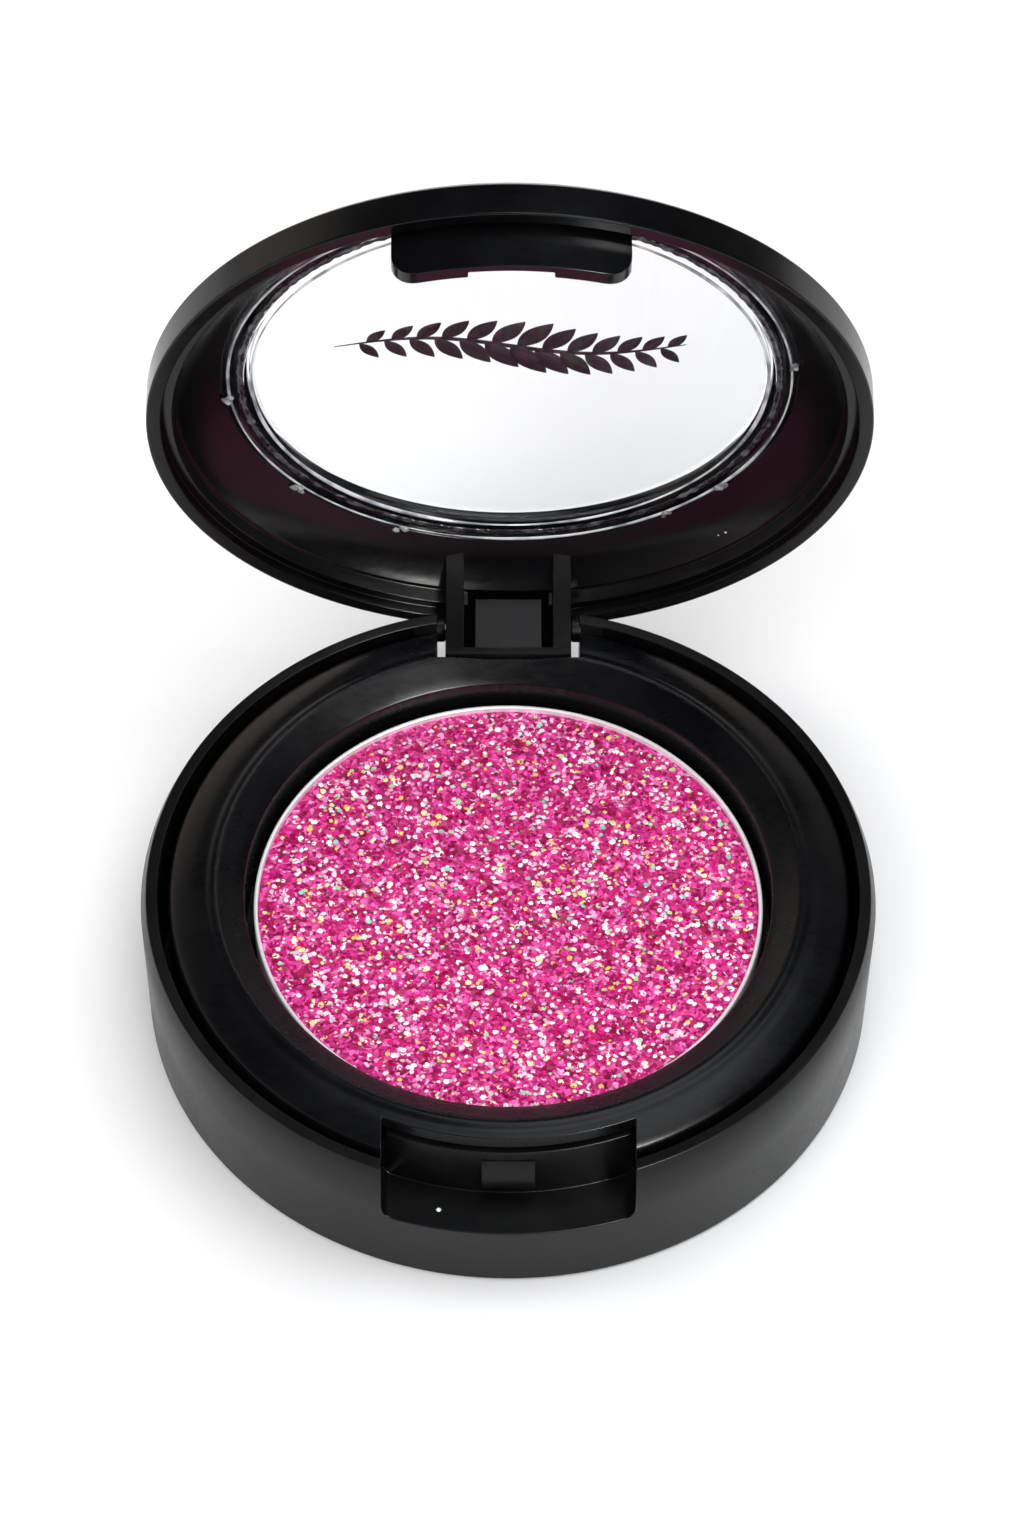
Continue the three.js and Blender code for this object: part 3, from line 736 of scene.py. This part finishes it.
pink_flakes = flakes(
    "glitter_pink_flakes", 7400, 21, 0.26, 0.58, 0.45, (-0.02, 0.05),
    [(0.32, 0.001, 0.06), (0.52, 0.003, 0.13), (0.72, 0.012, 0.24),
     (0.86, 0.07, 0.38), (0.93, 0.28, 0.56), (0.97, 0.66, 0.82)],
    [0.19, 0.27, 0.24, 0.15, 0.09, 0.06],
)
pink_flakes.data.materials.append(foil("pink_foil", 0.15, 0.34))
bright_flakes = flakes(
    "glitter_bright_flakes", 1900, 22, 0.22, 0.50, 0.40, (0.01, 0.08),
    [(0.90, 0.62, 0.14), (0.92, 0.80, 0.35), (0.50, 0.82, 0.36),
     (0.28, 0.72, 0.55), (0.96, 0.90, 0.66), (0.98, 0.97, 0.95)],
    [0.08, 0.15, 0.09, 0.05, 0.13, 0.50],
)
bright_flakes.data.materials.append(foil("bright_foil", 0.05, 0.30))
for piece in (pink_flakes, bright_flakes):
    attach(piece, "base")

# ---- Lid shell ----
# One glossy black moulding: a ring with a domed shoulder round the window, a latch tab at its front and a
# hinge block at its back. It is drawn as it lies when shut, then swung open by OPEN_ANGLE about the pin.
PIN_PLACE = Vector((0, 24.15, 10.0))
OPEN_ANGLE = 83.6
to_pin = Matrix.Translation(PIN_PLACE)
opened = to_pin @ Matrix.Rotation(-np.radians(OPEN_ANGLE), 4, "X") @ Matrix.Translation(-PIN_PLACE)
LID_RADIUS = 25.5
LID_RIM = 11.45
LID_RIM_INNER = 24.45
DOME_COLUMNS = 300


def eased(points, steps=4):
    """A Catmull-Rom curve through the points: each span is cut into steps by the cubic of four neighbours."""
    points = np.asarray(points, float)
    padded = np.concatenate([2 * points[:1] - points[1:2], points, 2 * points[-1:] - points[-2:-1]])
    before, start, end, after = padded[:-3], padded[1:-2], padded[2:-1], padded[3:]
    t = (np.arange(steps) / steps)[:, None, None]
    curve = 0.5 * (2 * start + (end - before) * t + (2 * before - 5 * start + 4 * end - after) * t**2
                   + (3 * start - before - 3 * end + after) * t**3)
    return np.concatenate([curve.transpose(1, 0, 2).reshape(-1, 2), points[-1:]]).tolist()


shoulder = eased([[25.42, 14.0], [24.6, 14.72], [23.4, 15.5], [21.8, 16.32], [20.2, 16.92], [18.55, 17.35]])
hollow = eased([[20.3, 15.75], [21.8, 14.85], [22.8, 13.98], [23.4, 13.3]])
dome = turned(
    [[LID_RIM_INNER, LID_RIM], [25.42, LID_RIM], [LID_RADIUS, 11.53], [LID_RADIUS, 13.88]] + shoulder
    + [[18.55, 16.5], [20.3, 16.5]] + hollow
    + [[23.6, 13.25], [23.65, 12.15], [LID_RIM_INNER, 12.25], [LID_RIM_INNER, LID_RIM]],
    DOME_COLUMNS,
)
TAB_HALF = 8.1
TAB_END = 8.3
TAB_CORNER = 1.9
TAB_BACK = 22.75
TAB_FRONT = 23.9
TAB_TOP = 14.2
RELIEF_HALF = 2.9
RELIEF_BACK = 23.3
RELIEF_TOP = 11.2
tab_turn = np.radians([90, 78, 65, 52, 38, 25, 12, 0])
tab_corner_x = TAB_HALF - TAB_CORNER + TAB_CORNER * np.sin(tab_turn)
tab_corner_z = TAB_END + TAB_CORNER - TAB_CORNER * np.cos(tab_turn)
tab_x = np.concatenate([tab_corner_x, np.linspace(5.9, RELIEF_HALF, 9)])
tab_end = np.concatenate([tab_corner_z, np.full(9, TAB_END)])
tab_side = np.zeros((len(tab_x), 7, 3))
tab_side[..., 0] = [TAB_BACK, TAB_BACK, TAB_BACK, RELIEF_BACK, TAB_FRONT, TAB_FRONT, TAB_BACK]
tab_side[..., 1] = [TAB_TOP, RELIEF_TOP, 0, 0, 0, TAB_TOP, TAB_TOP]
tab_side[:, 2:5, 1] = tab_end[:, None]
tab_share = (TAB_HALF - tab_x) / (TAB_HALF - RELIEF_HALF)
tab_relief = [
    [TAB_BACK, TAB_TOP, 0], [TAB_BACK, RELIEF_TOP, 0], [RELIEF_BACK, RELIEF_TOP, 0],
    [RELIEF_BACK, TAB_END, 0], [TAB_FRONT, TAB_END, 0], [TAB_FRONT, TAB_TOP, 0], [TAB_BACK, TAB_TOP, 0],
]
tab = banded(
    [
        (front(-TAB_HALF), front(-RELIEF_HALF), tab_share, tab_side),
        (front(-RELIEF_HALF), front(RELIEF_HALF), np.linspace(0, 1, 13), tab_relief),
        (front(RELIEF_HALF), front(TAB_HALF), 1 - tab_share[::-1], tab_side[::-1]),
    ],
    ring=False,
)
ARM_SPAN = (3.23, 4.58)
BAR_HALF = 3.4
PANEL_HALF = 2.45
arm_outline = [[20.9, 15.9], [22.95, 8.2], [23.05, 7.7], [23.35, 7.35], [23.8, 7.2], [24.6, 7.2], [25.1, 7.7],
               [25.3, 8.6], [25.5, 11.6], [24.9, 13.9], [22.2, 15.9]]
bar_outline = [[22.95, 8.2], [23.05, 7.7], [23.35, 7.35], [23.8, 7.2], [24.6, 7.2], [25.1, 7.7], [25.2, 8.2]]
back_outline = [[23.65, 8.0], [25.2, 8.0], [25.3, 8.6], [25.5, 11.6], [24.9, 13.9], [23.65, 14.9]]
hinge_block = [
    carried_across(arm_outline, np.linspace(*ARM_SPAN, 5), LID_RADIUS),
    carried_across(arm_outline, -np.linspace(*ARM_SPAN, 5), LID_RADIUS),
    carried_across(bar_outline, np.linspace(-BAR_HALF, BAR_HALF, 9), LID_RADIUS),
    carried_across(back_outline, np.linspace(-BAR_HALF, BAR_HALF, 9), LID_RADIUS),
    block(-PANEL_HALF, PANEL_HALF, 23.2, 24.25, 8.0, 12.55),
]
lid_shell = moulded(
    "lid_shell_moulding", [dome, tab, *hinge_block], 0.08, place=opened, smooth_angle=CRISP_ANGLE
)
lid_shell.data.materials.append(
    black_plastic("lid_gloss", (0.0016, 0.0017, 0.0020), (0.0030, 0.0032, 0.0036), 0.22, 0.12, 0.06, 1.33)
)
# The slots beside and above the panel get a near-black, rough paint that mirrors little: painted shade for
# the deep gaps there. Their faces are found by their centres, as they lie when the lid is shut.
slot_painted_shade = black_plastic(
    "slot_painted_shade", (0.0004, 0.0004, 0.0005), (0.0009, 0.0009, 0.0010), 0.9, 0.10, 0.05, 1.05
)
lid_shell.data.materials.append(slot_painted_shade)
centres = np.empty(len(lid_shell.data.polygons) * 3)
lid_shell.data.polygons.foreach_get("center", centres)
closing = np.array(opened.inverted())
across, along, height = (centres.reshape(-1, 3) * 1000 @ closing[:3, :3].T + closing[:3, 3]).T
in_slot = (abs(across) < 3.26) & (abs(along - 23.65) < 0.09) & (height < 13.4)
in_slot |= (abs(abs(across) - PANEL_HALF) < 0.05) & (abs(along - 23.5) < 0.28)
in_slot |= (abs(across) < 3.2) & (abs(along - 23.45) < 0.22) & (abs(height - 12.7) < 0.65)
lid_shell.data.polygons.foreach_set("material_index", in_slot.astype(np.int32))
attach(lid_shell, "lid")
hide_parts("lid_shell")

# ---- Window ----
# A clear moulded plate that fills the lid's opening, with a stepped flange inside it. A fine groove round the
# flange takes the weld. The plastic is a very little grey, in soft patches, and mirrors little.
WINDOW_INNER = 16.35
WINDOW_OUTER = 17.3
FLANGE_FACE = 15.6
window_dish = [[0, WINDOW_INNER], [17.75, WINDOW_INNER], [17.95, 16.3], [18.08, 16.1], [18.2, 15.68]]
window_flange = [
    [18.3, FLANGE_FACE], [18.72, FLANGE_FACE], [18.82, 15.72], [19.3, 15.72], [19.4, FLANGE_FACE],
    [19.9, FLANGE_FACE], [19.95, 15.66], [19.95, 16.4], [18.35, 16.4], [18.35, WINDOW_OUTER],
]
window_profile = window_dish + window_flange + [[0, WINDOW_OUTER]]
lens = moulded("window_plate", [turned(window_profile, DOME_COLUMNS)], 0.05, place=opened)
clear, shader, _ = mottled("clear_plastic", 110, 3, (0.875, 0.885, 0.893), (0.925, 0.932, 0.936))
shader.inputs["Transmission Weight"].default_value = 1
shader.inputs["IOR"].default_value = 1.14
shader.inputs["Roughness"].default_value = 0.01
shader.inputs["Specular IOR Level"].default_value = 0.06
lens.data.materials.append(clear)
lens.visible_shadow = False
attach(lens, "lid")
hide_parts("window_lens")

# ---- Weld, dried glue and painted edge highlights on the window's flange ----
# A thin uneven bead of solvent weld lies in the flange's groove, a pale bead along each of the flange's edges
# is a painted highlight where those edges catch the light, and six dabs of glue bridge its outer edge.
WELD_REACH = 19.06
WELD_RISE = 15.70
GLUE_REACH = 20.0
GLUE_RISE = 15.42
weld_angle = np.linspace(0, 2 * np.pi, 721)[:-1]
weld_rng = np.random.default_rng(31)
weld_wave = sum(
    weld_rng.uniform(0.01, 0.035) * np.cos(n * weld_angle + weld_rng.uniform(0, 6.28))
    for n in weld_rng.integers(20, 170, 16)
)
section = np.linspace(0, 2 * np.pi, 9)[:-1]


def ringed(out, up):
    """A closed section carried round the axis: its radius is out and its height up, one row per angle."""
    points = np.stack([out * np.sin(weld_angle)[:, None], out * np.cos(weld_angle)[:, None], up], -1)
    index = np.arange(up.size).reshape(up.shape)
    next_row = np.roll(index, -1, 0)
    return points.reshape(-1, 3), quads(index, next_row, np.roll(next_row, -1, 1), np.roll(index, -1, 1))


weld_reach = WELD_REACH + (0.22 + 0.6 * weld_wave[:, None]) * np.cos(section)
weld_rise = WELD_RISE - (0.10 + 0.25 * weld_wave[:, None]) * np.sin(section)
weld = moulded("window_weld", [ringed(weld_reach, weld_rise)], 0, place=opened)


def dab_lumps(angle_deg, seed):
    """Three small lumps of glue side by side: squashed balls whose radius varies in cosine lobes."""
    rng = np.random.default_rng(seed)
    u = np.linspace(0, 2 * np.pi, 25)[:-1][:, None]
    v = np.linspace(0, np.pi, 13)
    turn = np.radians(angle_deg)
    index = np.arange(24 * 13).reshape(24, 13)
    nxt = np.roll(index, -1, 0)
    faces = quads(index[:, :-1], nxt[:, :-1], nxt[:, 1:], index[:, 1:])
    lumps = []
    for offset in (-0.28, 0.02, 0.30):
        lobes = 1 + sum(
            rng.uniform(0.08, 0.24) * np.cos(n * u + rng.uniform(0, 6.28)) * np.sin(v) ** 2 for n in (2, 3, 5)
        )
        size = rng.uniform(0.14, 0.26)
        out = GLUE_REACH + rng.uniform(-0.25, 0.25) + size * lobes * np.cos(u) * np.sin(v)
        side = offset + 1.2 * size * lobes * np.sin(u) * np.sin(v)
        rise = GLUE_RISE + 0.7 * size * np.cos(v) + 0 * u
        x, y = out * np.cos(turn) - side * np.sin(turn), out * np.sin(turn) + side * np.cos(turn)
        lumps.append((np.stack([x, y, rise], -1).reshape(-1, 3), faces))
    return lumps


def edge_bead(reach, rise, half, seed):
    """A thin bead of painted highlight round the flange: a circle of radius half, swollen by slow cosine
    waves, carried round.
    """
    rng = np.random.default_rng(seed)
    swell = 1 + sum(
        rng.uniform(0.08, 0.22) * np.cos(n * weld_angle + rng.uniform(0, 6.28)) for n in (1, 2, 3, 7, 12)
    )
    across_ring = half * swell[:, None] * np.cos(section)
    return ringed(reach + across_ring, rise - half * swell[:, None] * np.sin(section))


inner_bead = edge_bead(18.24, 15.72, 0.11, 33)
outer_bead = edge_bead(19.86, 15.62, 0.09, 34)
edge_highlight_beads = moulded("window_edge_highlight_beads", [inner_bead, outer_bead], 0, place=opened)
glue, shader, curd = mottled("dried_glue", 1500, 3, (0.25, 0.25, 0.26), (0.85, 0.86, 0.87), 0.4, 0.65)
shader.inputs["Transmission Weight"].default_value = 0.55
shader.inputs["Roughness"].default_value = 0.18
shader.inputs["IOR"].default_value = 1.47
raised(glue, curd, 0.6, 0.00008)
weld_skin, shader, curd = mottled(
    "weld_skin", 900, 4, (0.008, 0.008, 0.010), (0.16, 0.17, 0.18), 0.45, 0.75
)
shader.inputs["Roughness"].default_value = 0.16
raised(weld_skin, curd, 0.8, 0.0001)
weld.data.materials.append(weld_skin)
# Pale, partly clear paint on the beads: painted highlight along the flange's edges.
bead_painted_highlight, shader, _ = mottled(
    "bead_painted_highlight", 420, 3, (0.30, 0.32, 0.36), (0.92, 0.93, 0.95), 0.38, 0.56
)
shader.inputs["Roughness"].default_value = 0.12
shader.inputs["Transmission Weight"].default_value = 0.35
edge_highlight_beads.data.materials.append(bead_painted_highlight)
for piece in (weld, edge_highlight_beads):
    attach(piece, "lid")
for number, angle_deg in enumerate((174, 139, 113, 55, 40, -6), 1):
    dab = moulded(f"glue_dab_{number}", dab_lumps(angle_deg, 40 + number), 0, place=opened)
    dab.data.materials.append(glue)
    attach(dab, "lid")
    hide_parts(f"lens_glue_tack_{number}")

# ---- Printed ornament ----
# A plain leafy sprig screen-printed in black on the window's outer face: a thin wavy stem with almond leaves
# that shrink towards both ends. It carries no lettering.
STEM_HALF = 12.4
STEM_Y = -2.4
PRINT_LOW = 17.302
PRINT_HIGH = 17.318


def stem_line(x):
    """The stem's height on the window at x: one slow wave."""
    return STEM_Y + 0.9 * np.sin(x * np.pi / 11.6)


def flat_shape(outline):
    """A closed thin plate of ink from an outline of [x, y]."""
    count = len(outline)
    low = np.c_[outline, np.full(count, PRINT_LOW)]
    high = np.c_[outline, np.full(count, PRINT_HIGH)]
    index = np.arange(count)
    nxt = np.roll(index, -1)
    sides = quads(index, nxt, nxt + count, index + count)
    return np.concatenate([low, high]), sides + [index[::-1].tolist(), (index + count).tolist()]


def leaf(x, turn_deg, length, width):
    """An almond rooted on the stem at x and turned by turn_deg.

    Its half width at share s of its length is 0.5 width sin(pi s)^0.85 (1 - 0.25 s).
    """
    s = np.linspace(0, 1, 17)
    half = 0.5 * width * np.sin(np.pi * s) ** 0.85 * (1 - 0.25 * s)
    along = np.concatenate([length * s, length * s[-2:0:-1]])
    side = np.concatenate([half, -half[-2:0:-1]])
    turn = np.radians(turn_deg)
    leaf_x = x + along * np.cos(turn) - side * np.sin(turn)
    leaf_y = stem_line(x) + along * np.sin(turn) + side * np.cos(turn)
    return flat_shape(np.stack([leaf_x, leaf_y], -1))


stem_x = np.linspace(-STEM_HALF, STEM_HALF, 81)
stem_half = 0.20 * np.cos(stem_x / STEM_HALF * np.pi / 2) + 0.04
stem_under = np.c_[stem_x, stem_line(stem_x) - stem_half]
stem_over = np.c_[stem_x, stem_line(stem_x) + stem_half]
sprig = [flat_shape(np.concatenate([stem_under, stem_over[::-1]]))]
for x in np.linspace(-10.6, 10.6, 13):
    taper = 1 - 0.045 * abs(x)
    sprig += [leaf(x, 52, 4.2 * taper, 2.0 * taper), leaf(x + 0.5, -48, 3.8 * taper, 1.85 * taper)]
ornament = moulded("window_print", sprig, 0, place=opened)
ink, shader, _ = mottled("screen_ink", 1200, 2, (0.004, 0.004, 0.005), (0.014, 0.014, 0.016))
shader.inputs["Roughness"].default_value = 0.5
shader.inputs["Specular IOR Level"].default_value = 0.1
ornament.data.materials.append(ink)
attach(ornament, "lid")

# ---- Loose flecks ----
# A few flakes that escaped from the pan: one lies on the notch's ledge and two cling inside the lid, near its
# hinge.


def fleck(centre, size):
    """A squashed six-sided pebble: a ball of that radius, flattened to 0.4 along z."""
    u = (np.arange(6) * np.pi / 3)[:, None]
    v = np.linspace(0, np.pi, 5)
    ball = np.stack([np.cos(u) * np.sin(v), np.sin(u) * np.sin(v), 0.4 * np.cos(v) + 0 * u], -1)
    points = ball * size + centre
    index = np.arange(30).reshape(6, 5)
    nxt = np.roll(index, -1, 0)
    faces = quads(index[:, :-1], nxt[:, :-1], nxt[:, 1:], index[:, 1:])
    return points.reshape(-1, 3), faces


fleck_skin, shader, _ = mottled("fleck_white", 3000, 2, (0.80, 0.80, 0.80), (0.98, 0.98, 0.97))
shader.inputs["Roughness"].default_value = 0.4
ledge_fleck = moulded("ledge_fleck", [fleck((-4.8, -23.9, 6.08), 0.2)], 0)
two_flecks = [fleck((15.7, 16.5, 13.95), 0.11), fleck((15.2, 16.9, 13.98), 0.08)]
lid_flecks = moulded("lid_flecks", two_flecks, 0, place=opened)
for piece, body in ((ledge_fleck, "base"), (lid_flecks, "lid")):
    piece.data.materials.append(fleck_skin)
    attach(piece, body)

# ---- Pin, adhesive and label ----
# The steel pin, the film under the pan and the plain paper label under the foot keep their drawn shapes.
for node, colour, darker, metal, roughness in (
    ("hinge_pin", (0.42, 0.42, 0.44), (0.22, 0.22, 0.23), 1.0, 0.34),
    ("pan_adhesive", (0.70, 0.66, 0.55), (0.60, 0.56, 0.46), 0.0, 0.6),
    ("base_label", (0.66, 0.66, 0.64), (0.58, 0.58, 0.56), 0.0, 0.7),
):
    paint, shader, fibre = mottled(node + "_finish", 2500, 4, darker, colour)
    shader.inputs["Metallic"].default_value = metal
    shader.inputs["Roughness"].default_value = roughness
    raised(paint, fibre, 0.2, 0.00001)
    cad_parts[node].data.materials.clear()
    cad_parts[node].data.materials.append(paint)
